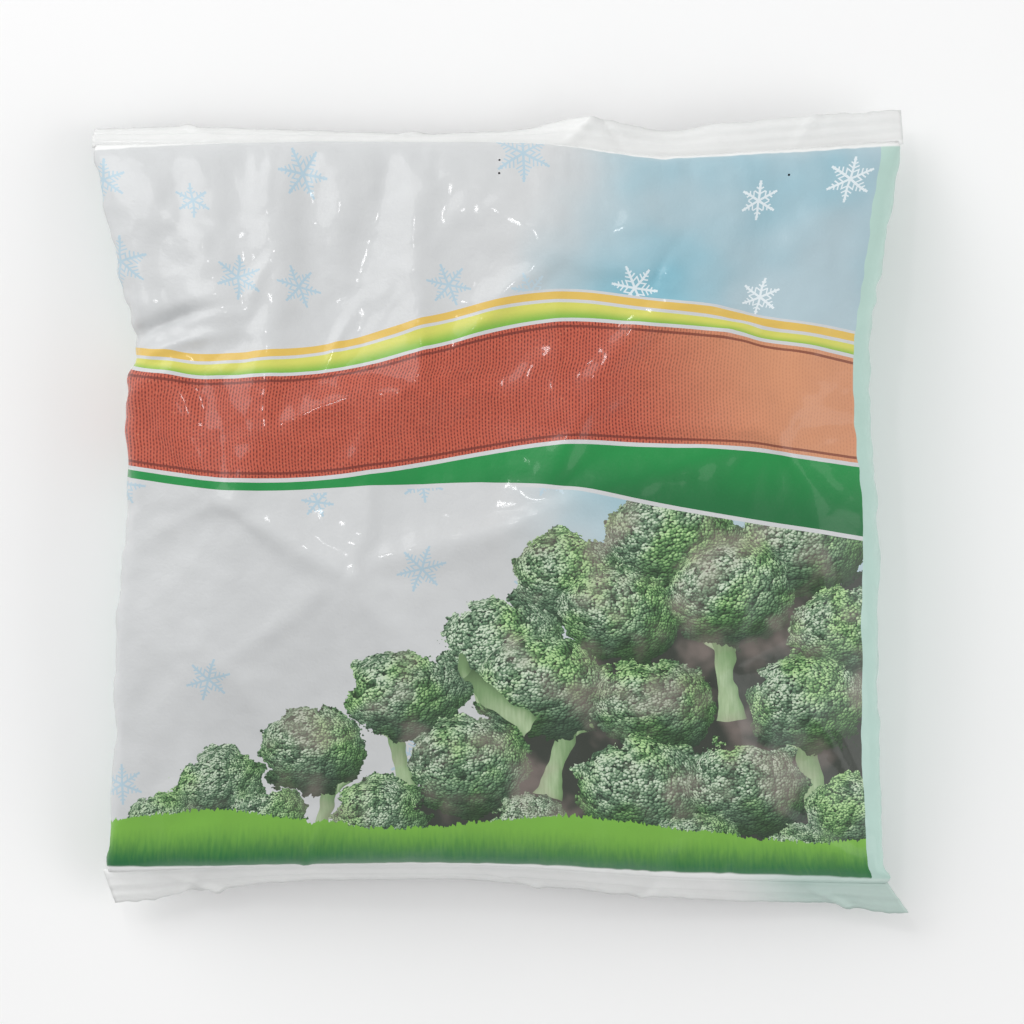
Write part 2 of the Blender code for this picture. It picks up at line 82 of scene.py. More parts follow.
# Pressed-in dents (negative) and raised creases: x, y, turn in degrees, length, width, height
filmCreases = [(-0.094, 0.052, 22, 0.015, 0.0019, -0.0030), (-0.088, 0.046, 18, 0.013, 0.0020, 0.0019),
               (-0.095, 0.037, 28, 0.012, 0.0030, 0.0012), (0.064, 0.056, -8, 0.013, 0.0020, 0.0011),
               (0.070, 0.051, 10, 0.012, 0.0018, 0.0009), (-0.067, 0.062, 70, 0.009, 0.0016, 0.0010),
               (0.045, 0.067, 60, 0.010, 0.0016, -0.0010), (-0.053, -0.093, 75, 0.010, 0.0016, 0.0012),
               (-0.044, 0.047, 65, 0.008, 0.0014, 0.0008), (0.096, -0.070, -62, 0.020, 0.0022, 0.0014)]

# Small relief over the whole film, and the gathers that run in from the seals
crumple = dict(fine=0.00016, fineSize=0.0062, broad=0.0005, broadSize=0.017, broadLevel=0.25,
               side=0.0011, sideSize=0.010, sealFade=0.006, creaseBend=0.12,
               gather=0.00032, gatherReach=0.011, gatherPitch=0.0085, gatherStart=0.004,
               gatherWander=0.030, gatherDrift=1.6)

# Pricked air holes: (x, y) of each, the hole's radius, and the dimple round it
vents = dict(places=[(0.0006, 0.0975), (0.0006, 0.0935), (0.0815, 0.0930)], radius=0.00036,
             dimple=0.0003, reach=0.0020)


def smoothCurve(points):
    at, value = (np.array(column, float) for column in zip(*points))
    slope = np.gradient(value, at)

    def curve(x):
        x = np.clip(x, at[0], at[-1])
        k = np.clip(np.searchsorted(at, x) - 1, 0, len(at) - 2)
        span = at[k + 1] - at[k]
        s = (x - at[k]) / span
        return (value[k] * (1 + 2 * s) * (1 - s) ** 2 + value[k + 1] * s * s * (3 - 2 * s)
                + span * (slope[k] * s * (1 - s) ** 2 - slope[k + 1] * s * s * (1 - s)))
    return curve


for end in (topEnd, bottomEnd):
    end["line"], end["lean"] = smoothCurve(end["line"]), smoothCurve(end["lean"])


def sealPoints(end, across, out, lift=0.0):
    # across runs from -1 to 1 along the seal, out is the distance past the seal line
    share = out / bag["sealHeight"]
    low, high = (side + flare * share for side, flare in zip((end["low"], end["high"]), end["flare"]))
    x = (low + high) / 2 + across * (high - low) / 2
    tilt = np.radians(end["lean"](x)) * np.clip(out / bag["leanStart"], 0, 1)
    y = end["line"](x) + end["sign"] * (out * np.cos(tilt) + lift * np.sin(tilt))
    z = (bag["sealLineHeight"] - bag["cornerDroop"] * (x / bag["halfWidth"]) ** 2
         - out * np.sin(tilt) + lift * np.cos(tilt))
    return np.stack([x + bag["shift"][0], y + bag["shift"][1], z], -1)


def addMesh(name, points, faces):
    data = bpy.data.meshes.new(name)
    data.from_pydata([tuple(p) for p in points], [], [tuple(f) for f in faces])
    made = bpy.data.objects.new(name, data)
    scene.collection.objects.link(made)
    return made


# The film as a grid of cells: a front and a back that share the side folds and the seal lines
columns = int(round(2 * bag["halfWidth"] / clothRun["cell"]))
rows = int(round(bag["bodyLength"] / clothRun["cell"]))
acrossSteps = np.linspace(-1, 1, columns + 1)
alongSteps = np.linspace(0, 1, rows + 1)
frontIds = np.arange((columns + 1) * (rows + 1)).reshape(columns + 1, rows + 1)
backIds = frontIds.copy()
backIds[1:-1, 1:-1] = frontIds.size + np.arange((columns - 1) * (rows - 1)).reshape(columns - 1, -1)


def gridFaces(ids, flip=False):
    quads = np.stack([ids[:-1, :-1], ids[1:, :-1], ids[1:, 1:], ids[:-1, 1:]], -1).reshape(-1, 4)
    return (quads[:, ::-1] if flip else quads).tolist()


def skinHeight(skin, x, y, start, pick, missed):
    # two rays side by side, so that a ray through a vent hole doesn't count
    found = [skin.ray_cast(Vector((x + beside, y, start)), Vector((0, 0, -start)))[0]
             for beside in laying["besides"]]
    return pick([hit.z for hit in found if hit] or [missed])


def startPoints():
    # the grid laid on the CAD film's own skin
    mesh = bmesh.new()
    mesh.from_mesh(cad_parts["film"].data)
    skin = BVHTree.FromBMesh(mesh)
    cad = np.array([v.co[:] for v in mesh.verts])
    mesh.free()

    top, bottom = sealPoints(topEnd, acrossSteps, 0.0), sealPoints(bottomEnd, acrossSteps, 0.0)
    front = np.zeros((columns + 1, rows + 1, 3))
    back = np.zeros_like(front)
    for j, share in enumerate(alongSteps):
        ys = bottom[:, 1] + (top[:, 1] - bottom[:, 1]) * share
        for i, across in enumerate(acrossSteps):
            if j in (0, rows):
                front[i, j] = back[i, j] = (top if j else bottom)[i]
                continue
            near = cad[np.abs(cad[:, 1] - ys[i]) < laying["band"], 0]
            half = (near.max() - near.min()) / 2 - laying["inset"]
            x = (near.min() + near.max()) / 2 + across * half
            high = skinHeight(skin, x, ys[i], laying["above"], max, laying["frontMissed"])
            low = skinHeight(skin, x, ys[i], laying["below"], min, laying["backMissed"])
            low += laying["backLift"]
            if i in (0, columns):
                high = low = (high + low) / 2
            front[i, j], back[i, j] = (x, ys[i], high), (x, ys[i], low)
    return joined(front, back)


def joined(front, back):
    return np.concatenate([front.reshape(-1, 3), back[1:-1, 1:-1].reshape(-1, 3)])


def simulateFilm(points):
    # cloth under a little pressure over the florets and the floor, held at both seal lines
    size = clothRun["scale"]
    cloth = addMesh("filmCloth", points * size, gridFaces(frontIds) + gridFaces(backIds, True))
    x = np.repeat(acrossSteps * bag["halfWidth"], rows + 1).reshape(columns + 1, -1)
    y = np.tile((alongSteps - 0.5) * bag["bodyLength"], (columns + 1, 1))
    flat = np.stack([x, y, np.zeros_like(x)], -1)
    cloth.shape_key_add(name="Basis")
    flatKey = cloth.shape_key_add(name="flatFilm")
    apart = np.array((0, 0, clothRun["skinsApart"]))
    flatKey.data.foreach_set("co", (joined(flat + apart, flat - apart) * size).ravel())
    flatKey.value = 0
    held = cloth.vertex_groups.new(name="sealLines")
    held.add(frontIds[[0, -1]].ravel().tolist(), clothRun["sideHold"], "REPLACE")
    held.add(frontIds[:, [0, -1]].ravel().tolist(), 1.0, "REPLACE")

    reach = clothRun["floorHalf"]
    floorCorners = [(-reach, -reach, 0), (reach, -reach, 0), (reach, reach, 0), (-reach, reach, 0)]
    floorPlane = addMesh("simFloor", floorCorners, [(0, 1, 2, 3)])
    content = bmesh.new()
    for name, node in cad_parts.items():
        if name.startswith("floret"):
            content.from_mesh(node.data)
    for vertex in content.verts:
        vertex.co = (vertex.co + Vector((0, 0, clothRun["contentLift"]))) * size
    contentData = bpy.data.meshes.new("simContent")
    content.to_mesh(contentData)
    content.free()
    contentPiece = bpy.data.objects.new("simContent", contentData)
    scene.collection.objects.link(contentPiece)
    for hard in (floorPlane, contentPiece):
        hard.modifiers.new("Collision", "COLLISION")
        hard.collision.thickness_outer = clothRun["contentSkin"]
        hard.collision.thickness_inner = clothRun["contentInside"]
        hard.collision.cloth_friction = clothRun["friction"]

    modifier = cloth.modifiers.new("Cloth", "CLOTH")
    settings = modifier.settings
    settings.quality = clothRun["quality"]
    settings.mass = clothRun["mass"]
    settings.air_damping = clothRun["airDamping"]
    settings.tension_stiffness = clothRun["stiffness"]
    settings.compression_stiffness = clothRun["stiffness"]
    settings.shear_stiffness = clothRun["stiffness"] / 2
    settings.bending_stiffness = clothRun["bending"]
    settings.tension_damping = clothRun["damping"]
    settings.compression_damping = clothRun["damping"]
    settings.shear_damping = clothRun["damping"]
    settings.bending_damping = clothRun["bendDamping"]
    settings.bending_model = "ANGULAR"
    settings.use_pressure = True
    settings.uniform_pressure_force = clothRun["pressure"]
    settings.vertex_group_mass = held.name
    settings.pin_stiffness = 1.0
    settings.rest_shape_key = flatKey
    modifier.collision_settings.distance_min = clothRun["keepApart"]
    modifier.collision_settings.collision_quality = 2
    modifier.collision_settings.use_self_collision = False
    modifier.point_cache.frame_start = 1
    modifier.point_cache.frame_end = clothRun["frames"] + 5
    for step in range(1, clothRun["frames"] + 1):
        scene.frame_set(step)
    settled = cloth.evaluated_get(bpy.context.evaluated_depsgraph_get())
    mesh = settled.to_mesh()
    found = np.empty(len(mesh.vertices) * 3, np.float32)
    mesh.vertices.foreach_get("co", found)
    settled.to_mesh_clear()
    scene.frame_set(1)
    for piece in (cloth, floorPlane, contentPiece):
        bpy.data.objects.remove(piece)
    return found.reshape(-1, 3).astype(float) / size


# How the simulated film is set down: the solver's skin, and the room that the back seam needs
rest = dict(skin=0.0007, fadeHeight=0.012, clear=0.0003, seamClear=0.00075, seamMiddle=0.0055,
            seamHalf=0.0065, seamFade=0.004)


def besideSeam(x):
    # 0 over the back seam, 1 clear of it
    away = np.abs(x - bag["shift"][0] - rest["seamMiddle"]) - rest["seamHalf"]
    return np.clip(away / rest["seamFade"], 0, 1)


def setDown(points):
    low = np.clip(1 - points[:, 2] / rest["fadeHeight"], 0, 1)
    points[:, 2] -= rest["skin"] * low * low * (3 - 2 * low)
    return keepClear(points)


def keepClear(points):
    least = rest["seamClear"] + (rest["clear"] - rest["seamClear"]) * besideSeam(points[:, 0])
    points[:, 2] = np.maximum(points[:, 2], least)
    return points


def webMap(data, places):
    # places holds u and v in metres for each corner: u runs round the tube from the front's middle
    layer = data.uv_layers.new(name="web")
    layer.uv.foreach_set("vector", np.asarray(places, np.float32).ravel())


def filmPlaces():
    u = acrossSteps * bag["halfWidth"]
    v = (alongSteps - 0.5) * bag["bodyLength"]
    i, j = (k.ravel() for k in np.meshgrid(np.arange(columns), np.arange(rows), indexing="ij"))
    corner = [(0, 0), (1, 0), (1, 1), (0, 1)]
    front = np.stack([np.stack([u[i + a], v[j + b]], -1) for a, b in corner], 1)
    behind = np.where(i < columns // 2, -2 * bag["halfWidth"], 2 * bag["halfWidth"])
    back = np.stack([np.stack([behind - u[i + a], v[j + b]], -1) for a, b in corner[::-1]], 1)
    return np.concatenate([front, back])


def readPoints(data):
    points = np.empty(len(data.vertices) * 3, np.float32)
    data.vertices.foreach_get("co", points)
    return points.reshape(-1, 3).astype(float)


def noiseField(points, size, seed, turbulence=3):
    shift = Vector((seed, -seed, 2 * seed))
    return np.array([noise.fractal(Vector(p) / size + shift, 0.8, 2.0, turbulence) for p in points])


def applyModifiers(piece):
    graph = bpy.context.evaluated_depsgraph_get()
    graph.update()
    data = bpy.data.meshes.new_from_object(piece.evaluated_get(graph))
    piece.modifiers.clear()
    piece.data = data
    return data


def dressFilm(points):
    film = addMesh("filmBag", points, gridFaces(frontIds) + gridFaces(backIds, True))
    webMap(film.data, filmPlaces())
    rim = set(map(tuple, np.sort(np.stack([frontIds[:-1, [0, -1]], frontIds[1:, [0, -1]]], -1)
                                 .reshape(-1, 2), 1).tolist()))
    crease = film.data.attributes.new("crease_edge", "FLOAT", "EDGE")
    crease.data.foreach_set("value", [1.0 if tuple(sorted(e.vertices)) in rim else 0.0
                                      for e in film.data.edges])
    smooth = film.modifiers.new("smooth", "SUBSURF")
    smooth.levels = smooth.render_levels = 1
    data = applyModifiers(film)
    points = readPoints(data)
    normals = np.empty(len(data.vertices) * 3, np.float32)
    data.vertices.foreach_get("normal", normals)
    normals = normals.reshape(-1, 3).astype(float)
    front = np.clip(normals[:, 2] * 3, 0, 1)
    x, y = points[:, 0] - bag["shift"][0], points[:, 1] - bag["shift"][1]
    height = np.zeros(len(points))
    for cx, cy, turn, length, width, rise in filmCreases:
        dx, dy = x - cx, y - cy
        c, s = math.cos(math.radians(turn)), math.sin(math.radians(turn))
        along, beside = dx * c + dy * s, dy * c - dx * s
        beside = beside + crumple["creaseBend"] * along ** 2 / length
        height += rise * np.exp(-(along / length) ** 2 - (beside / width) ** 2) * front
    toTop = np.clip(topEnd["line"](x) - y, 0, 1)
    toBottom = np.clip(y - bottomEnd["line"](x), 0, 1)
    toSeal = np.minimum(toTop, toBottom)
    body = np.clip(toSeal / crumple["sealFade"], 0, 1)
    broad = noiseField(points, crumple["broadSize"], 3.1)
    fine = noiseField(points, crumple["fineSize"], 9.7)
    height += body * crumple["broad"] * (np.abs(broad) - crumple["broadLevel"])
    height += body * crumple["fine"] * fine
    sideways = np.clip(1 - np.abs(normals[:, 2]) * 1.5, 0, 1)
    height += body * crumple["side"] * sideways * noiseField(points, crumple["sideSize"], 12.7, 2)
    warp = noiseField(points * (1, 0.4, 0), crumple["gatherWander"], 5.3)
    turns = x / crumple["gatherPitch"] + crumple["gatherDrift"] * warp
    pleat = np.sin(2 * math.pi * turns) * (0.4 + 0.9 * np.abs(warp))
    height += (crumple["gather"] * pleat * np.exp(-toSeal / crumple["gatherReach"])
               * np.clip(toSeal / crumple["gatherStart"], 0, 1))
    for vx, vy in vents["places"]:
        near = np.exp(-((x - vx) ** 2 + (y - vy) ** 2) / vents["reach"] ** 2)
        height -= vents["dimple"] * near * front
    height *= np.where(normals[:, 2] < 0, besideSeam(points[:, 0]), 1.0)
    points = keepClear(points + normals * height[:, None])
    data.vertices.foreach_set("co", points.astype(np.float32).ravel())
    pierce(data)
    data.shade_smooth()
    return film


def pierce(data):
    # the pricked vents are real eight-sided holes in the front film
    mesh = bmesh.new()
    mesh.from_mesh(data)
    mesh.normal_update()
    for vx, vy in vents["places"]:
        target = Vector((vx + bag["shift"][0], vy + bag["shift"][1]))
        face = min((f for f in mesh.faces if f.normal.z > 0.3),
                   key=lambda f: (f.calc_center_median().xy - target).length)
        for edge in list(face.edges):
            bmesh.utils.edge_split(edge, edge.verts[0], 0.5)
        bmesh.ops.inset_individual(mesh, faces=[face], thickness=vents["radius"] / 2)
        middle = face.calc_center_median()
        for vertex in face.verts:
            vertex.co = middle + (vertex.co - middle).normalized() * vents["radius"]
        bmesh.ops.delete(mesh, geom=[face], context="FACES")
    mesh.to_mesh(data)
    mesh.free()


def weldedSkins(name, first, second, places, flip=False):
    # two grids of points as the faces of one thin closed strip, with walls round its border
    count = first[..., 0].size
    ids = np.arange(count).reshape(first.shape[:2])
    faces = gridFaces(ids, flip) + gridFaces(ids + count, not flip)
    border = np.concatenate([ids[:, 0], ids[-1, 1:], ids[-2::-1, -1], ids[0, -2:0:-1]])
    following = np.roll(border, -1)
    walls = np.stack([border, border + count, following + count, following], -1)
    faces += (walls[:, ::-1] if flip else walls).tolist()
    strip = addMesh(name, np.concatenate([first.reshape(-1, 3), second.reshape(-1, 3)]), faces)
    corners = np.empty(len(strip.data.loops), np.int32)
    strip.data.loops.foreach_get("vertex_index", corners)
    webMap(strip.data, places.reshape(-1, 2)[corners % count])
    strip.data.shade_smooth()
    return strip


sealShape = dict(columns=230, rows=14, halfThickness=0.00022, crimp=0.00022, crimpPitch=0.0030,
                 crimpStart=0.002, wave=0.0006, waveSize=0.024, waveOut=30.0, freePower=0.6,
                 ragged=0.0009, raggedScale=90.0, raggedFine=380.0)


def makeSeal(name, end):
    # two skins of film welded together, with lengthwise crimps and a cut edge
    across = np.linspace(-1, 1, sealShape["columns"] + 1)[:, None]
    out = np.linspace(-bag["sealOverlap"], bag["sealHeight"], sealShape["rows"] + 1)[None, :]
    flatU = across * bag["halfWidth"] + 0 * out
    outs = np.broadcast_to(out, flatU.shape)
    free = np.clip(out / bag["sealHeight"], 0, 1)
    edge = np.array([noise.noise(Vector((u * sealShape["raggedScale"], end["sign"] * 4.0, 0)))
                     + 0.5 * noise.noise(Vector((u * sealShape["raggedFine"], end["sign"] * 6.0, 0)))
                     for u in flatU[:, 0]])[:, None]
    outer = out + sealShape["ragged"] * edge * free
    wave = np.array([[noise.noise(Vector((u / sealShape["waveSize"], o * sealShape["waveOut"],
                                          end["sign"] * 7.0))) for u, o in zip(us, os)]
                     for us, os in zip(flatU, outs)])
    folded = sum(height * np.exp(-((flatU - x - slant * out) / width) ** 2)
                 for x, slant, width, height in end["folds"])
    crimps = np.sin(2 * math.pi * out / sealShape["crimpPitch"])
    crimps = crimps * np.clip(out / sealShape["crimpStart"], 0, 1)
    lift = (sealShape["wave"] * wave + folded) * free ** sealShape["freePower"]
    lift = lift + sealShape["crimp"] * crimps
    skins = [sealPoints(end, across, outer, lift + side * sealShape["halfThickness"])
             for side in (1, -1)]
    v = end["sign"] * (bag["bodyLength"] / 2 + outs)
    return weldedSkins(name, *skins, np.stack([flatU, v], -1), end["sign"] < 0)


backSeam = dict(width=0.0115, under=0.0006, columns=14, gap=0.00025, thickness=0.00030,
                floorGap=0.00005)


def makeBackSeam(points):
    # the lengthwise fin, folded flat against the back
    back = points[backIds]
    xs = np.linspace(-backSeam["under"], backSeam["width"], backSeam["columns"] + 1)
    line = np.array([np.stack([np.interp(xs + bag["shift"][0], back[:, j, 0], back[:, j, k])
                               for k in range(3)], -1) for j in range(rows + 1)])
    low, high = line.copy(), line.copy()
    under, thick = backSeam["floorGap"], backSeam["thickness"]
    low[..., 2] = np.maximum(line[..., 2] - (backSeam["gap"] + thick), under)
    high[..., 2] = np.maximum(line[..., 2] - backSeam["gap"], under + thick)
    v = np.repeat(((alongSteps - 0.5) * bag["bodyLength"])[:, None], len(xs), 1)
    places = np.stack([np.broadcast_to(2 * bag["halfWidth"] + xs, v.shape), v], -1)
    return weldedSkins("backSeam", low, high, places)


class Wire:
    # one socket in a node tree; sums on wires add Math nodes
    def __init__(self, tree, socket=None):
        self.tree, self.socket = tree, socket

    def node(self, kind, settings=None, inputs=None, out=0):
        made = self.tree.nodes.new(kind)
        for name, value in (settings or {}).items():
            if name == "stops":
                ramp = made.color_ramp
                for place, colour in value[1:-1]:
                    ramp.elements.new(place)
                for element, (place, colour) in zip(ramp.elements, value):
                    element.position, element.color = place, colour
            else:
                setattr(made, name, value)
        for key, value in (inputs or {}).items():
            if isinstance(value, Wire):
                self.tree.links.new(value.socket, made.inputs[key])
            else:
                made.inputs[key].default_value = value
        if isinstance(out, tuple):
            return [Wire(self.tree, made.outputs[k]) for k in out]
        return Wire(self.tree, made.outputs[out])

    def maths(self, operation, *values):
        return self.node("ShaderNodeMath", dict(operation=operation), dict(enumerate(values)))

    def __add__(self, other): return self.maths("ADD", self, other)
    def __radd__(self, other): return self.maths("ADD", other, self)
    def __sub__(self, other): return self.maths("SUBTRACT", self, other)
    def __rsub__(self, other): return self.maths("SUBTRACT", other, self)
    def __mul__(self, other): return self.maths("MULTIPLY", self, other)
    def __rmul__(self, other): return self.maths("MULTIPLY", other, self)
    def __truediv__(self, other): return self.maths("DIVIDE", self, other)
    def __lt__(self, other): return self.maths("LESS_THAN", self, other)
    def __gt__(self, other): return self.maths("GREATER_THAN", self, other)
    def __abs__(self): return self.maths("ABSOLUTE", self)

    def sin(self): return self.maths("SINE", self)
    def most(self, other): return self.maths("MAXIMUM", self, other)

    def rise(self, low, high, first=0.0, last=1.0):
        # a smooth step from first to last while the wire goes from low to high
        return self.node("ShaderNodeMapRange", dict(interpolation_type="SMOOTHSTEP"),
                         {0: self, 1: low, 2: high, 3: first, 4: last})

    def vector(self, operation, *values, out=0):
        return self.node("ShaderNodeVectorMath", dict(operation=operation), dict(enumerate(values)), out)

    def bent(self, place, offset, reach):
        return self.vector("MULTIPLY_ADD", offset, (reach, reach, 0.0), place)

    def noise(self, vector, scale, detail=2.0, roughness=0.5, out=0):
        inputs = {"Vector": vector, "Scale": scale, "Detail": detail, "Roughness": roughness}
        return self.node("ShaderNodeTexNoise", dict(noise_dimensions="3D"), inputs, out)

    def cells(self, vector, scale, dimensions="2D", randomness=1.0, out=0):
        return self.node("ShaderNodeTexVoronoi", dict(voronoi_dimensions=dimensions, feature="F1"),
                         {"Vector": vector, "Scale": scale, "Randomness": randomness}, out)

    def blend(self, share, first, second, kind="MIX"):
        return self.node("ShaderNodeMix", dict(data_type="RGBA", blend_type=kind),
                         {0: share, 6: first, 7: second}, 2)

    def blendVector(self, share, first, second):
        return self.node("ShaderNodeMix", dict(data_type="VECTOR"), {0: share, 4: first, 5: second}, 1)


def paint(red, green, blue):
    # screen colours from 0 to 255 as the linear values that sockets take
    return tuple(((c / 255 + 0.055) / 1.055) ** 2.4 if c > 10 else c / 255 / 12.92
                 for c in (red, green, blue)) + (1.0,)


def newMaterial(name):
    material = bpy.data.materials.new(name)
    material.use_nodes = True
    shader = material.node_tree.nodes["Principled BSDF"]
    return material, Wire(material.node_tree), shader


def connect(shader, **sockets):
    for name, value in sockets.items():
        socket = shader.inputs[name.replace("_", " ")]
        if isinstance(value, Wire):
            value.tree.links.new(value.socket, socket)
        else:
            socket.default_value = value


# The printed design, in millimetres of film from the middle of the front. Its haze colour is not print
# but a painted sheen, the film's reflection painted over the heap
design = dict(
    white=paint(208, 210, 211), sealWhite=paint(243, 244, 243), brick=paint(196, 82, 60),
    brickDark=paint(104, 32, 22), peach=paint(214, 150, 112), green=paint(14, 142, 66),
    greenDeep=paint(10, 108, 54), lime=paint(122, 182, 66), ochre=paint(226, 190, 92),
    yellow=paint(214, 214, 100), skyHigh=paint(120, 182, 200), skyLow=paint(160, 200, 212),
    skyHaze=paint(184, 201, 208), mint=paint(183, 213, 203), snow=paint(236, 243, 246),
    paleBlue=paint(172, 200, 215),
    # haze: the colour of a painted sheen, a painted reflection of the room on the glossy film over the
    # heap
    freshTint=paint(226, 252, 198), gap=paint(54, 60, 52), haze=paint(166, 148, 142))

crownShades = [(0.0, paint(30, 44, 34)), (0.25, paint(58, 84, 62)), (0.5, paint(94, 128, 98)),
               (0.75, paint(144, 174, 140)), (1.0, paint(206, 222, 198))]
stalkShades = [(0.0, paint(62, 90, 54)), (0.45, paint(126, 158, 110)), (1.0, paint(196, 216, 176))]

# The heap from back to front. A crown is (u, v, radius); a stalk is (u, v, half width, half
# length, turn in degrees), and has two thinner branches at its top.
heap = [(22, -22, 18), (52, -8, 20), (90, -8, 20),
        (2, -44, 18), (36, -32, 18), (68, -48, 4.4, 15, 6), (70, -24, 19), (104, -36, 17),
        (-28, -80, 3.4, 13, 12), (19, -78, 4.2, 13, -16), (14, -57, 20), (1, -62, 4.2, 13, 50),
        (-26, -60, 18), (47, -60, 18),
        (93, -80, 4.3, 14, 10), (93, -58, 18),
        (-50, -95, 3.0, 10, -14), (-54, -77, 16), (-8, -82, 18), (43, -86, 19), (74, -84, 18),
        (106, -92, 15),
        (-82, -88, 14), (-67, -98, 12), (-34, -98, 14), (-98, -98, 11), (10, -100, 12),
        (60, -103, 13), (88, -104, 11)]
branchShape = dict(width=0.50, length=0.62, turn=27, away=0.85, up=0.95)
crownShape = dict(flat=0.84, lobeSize=0.13, lobes=11.0, frillSize=0.62, frill=4.0, stalkLobes=4.0,
                  clusters=4.4, buds=19.0)
lightFrom = (-0.50, 0.66, 0.56)


def heapItems():
    # crowns and stalks with their branches, each as (kind, centre, half sizes, turn)
    for item in heap:
        u, v = item[:2]
        if len(item) == 3:
            yield "crown", (u, v), (item[2], item[2] * crownShape["flat"]), 0
            continue
        wide, long, turn = item[2:]
        for side in (-1, 1):
            lean = math.radians(turn - side * branchShape["turn"])
            up, away = long * branchShape["up"], wide * branchShape["away"]
            c, s = math.cos(math.radians(turn)), math.sin(math.radians(turn))
            centre = (u - s * up - math.sin(lean) * away + c * side * away, v + c * up)
            size = (wide * branchShape["width"], long * branchShape["length"])
            yield "branch", centre, size, lean
        yield "stalk", (u, v), (wide, long), math.radians(turn)


def bumps(wire, normal, seeds, scale, lit, sunk):
    # rounded buds on a dome, bright towards the light and dark in the gaps between them
    spot = wire.vector("MULTIPLY_ADD", normal, (scale, scale, scale), seeds)
    away, centre = wire.cells(spot, 1.0, "3D", 0.9, out=(0, 2))
    facing = wire.vector("DOT_PRODUCT", wire.vector("SUBTRACT", spot, centre), lightFrom, out=1)
    return facing * lit + 1.12 - away * sunk


def drawHeap(wire, place):
    # each item covers those before it; rough and smooth are the place bent for the outlines
    half = (0.5, 0.5, 0.5)
    lobes = wire.vector("SUBTRACT", wire.noise(place, crownShape["lobeSize"], 1.0, 0.5, out=1), half)
    frill = wire.vector("SUBTRACT", wire.noise(place, crownShape["frillSize"], 2.0, 0.6, out=1), half)
    smooth = wire.bent(place, lobes, crownShape["stalkLobes"])
    rough = wire.bent(wire.bent(place, lobes, crownShape["lobes"]), frill, crownShape["frill"])
    place = wire.bent(place, lobes, 0.3)
    onTop = wire.node("ShaderNodeCombineXYZ", None, {2: -1.0})
    for number, (kind, centre, size, turn) in enumerate(heapItems()):
        if kind == "crown":
            scale = (1 / size[0], 1 / size[1], 0)
            shift = (-centre[0] / size[0], -centre[1] / size[1])
            edge = wire.vector("MULTIPLY_ADD", rough, scale, (*shift, 0))
            inside = wire.vector("LENGTH", edge, out=1) < 1.0
            local = wire.vector("MULTIPLY_ADD", place, scale, (*shift, number + 1))
        else:
            # how far beside its middle line and along it, in half sizes
            c, s = math.cos(turn), math.sin(turn)
            beside, along = (
                wire.vector("DOT_PRODUCT", smooth, (ax / reach, ay / reach, 0), out=1)
                - (centre[0] * ax + centre[1] * ay) / reach
                for ax, ay, reach in ((c, s, size[0]), (-s, c, size[1])))
            local = wire.node("ShaderNodeCombineXYZ", None, {0: beside, 1: along, 2: number + 100.0})
            if kind == "stalk":
                inside = (abs(beside) < along * along * 0.35 + 0.62) * (abs(along) < 1.0)
            else:
                inside = (beside * beside + along * along) < 1.0
        onTop = wire.blendVector(inside, onTop, local)
    x, y, mark = wire.node("ShaderNodeSeparateXYZ", None, {0: onTop}, (0, 1, 2))
    isCrown, isStalk = mark > 0.0, mark > 99.0
    depth = wire.maths("SQRT", (1.0 - (x * x + y * y)).most(0.0))
    normal = wire.node("ShaderNodeCombineXYZ", None, {0: x, 1: y, 2: depth})
    light = wire.vector("DOT_PRODUCT", normal, lightFrom, out=1)
    seeds = wire.node("ShaderNodeCombineXYZ", None, {2: mark * 13.7})
    clusters = bumps(wire, normal, seeds, crownShape["clusters"], 0.60, 0.50)
    buds = bumps(wire, normal, seeds, crownShape["buds"], 1.05, 0.85)
    shade = (light * 0.40 + 0.66) * clusters * buds * y.rise(-1.0, 0.0, 0.45, 1.0)
    crown = wire.node("ShaderNodeValToRGB", dict(stops=crownShades), {0: shade})
    fresh = wire.noise(place, 0.055, 2.0).rise(0.42, 0.62)
    crown = wire.blend(fresh, crown, design["freshTint"], "MULTIPLY")
    streak = wire.noise(wire.vector("MULTIPLY", place, (1.3, 0.16, 1)), 1.0, 2.0)
    stalkShade = (1.0 - x * x * 0.55 - x * 0.30) * (streak * 0.45 + 0.55)
    stalkShade = stalkShade * y.rise(1.3, -0.5, 0.30, 0.95)
    stalk = wire.node("ShaderNodeValToRGB", dict(stops=stalkShades), {0: stalkShade})
    return wire.blend(isStalk, crown, stalk), isCrown


# Snow crystals, in millimetres: their cells, arms and branches, and the share of empty cells
crystal = dict(apart=31.0, looseness=0.55, least=4.5, spread=4.5, armHalf=0.34, slant=0.577,
               branchStep=1.3, branchHalf=0.24, branchLength=0.42, bareMiddle=1.2, leftOut=0.22)


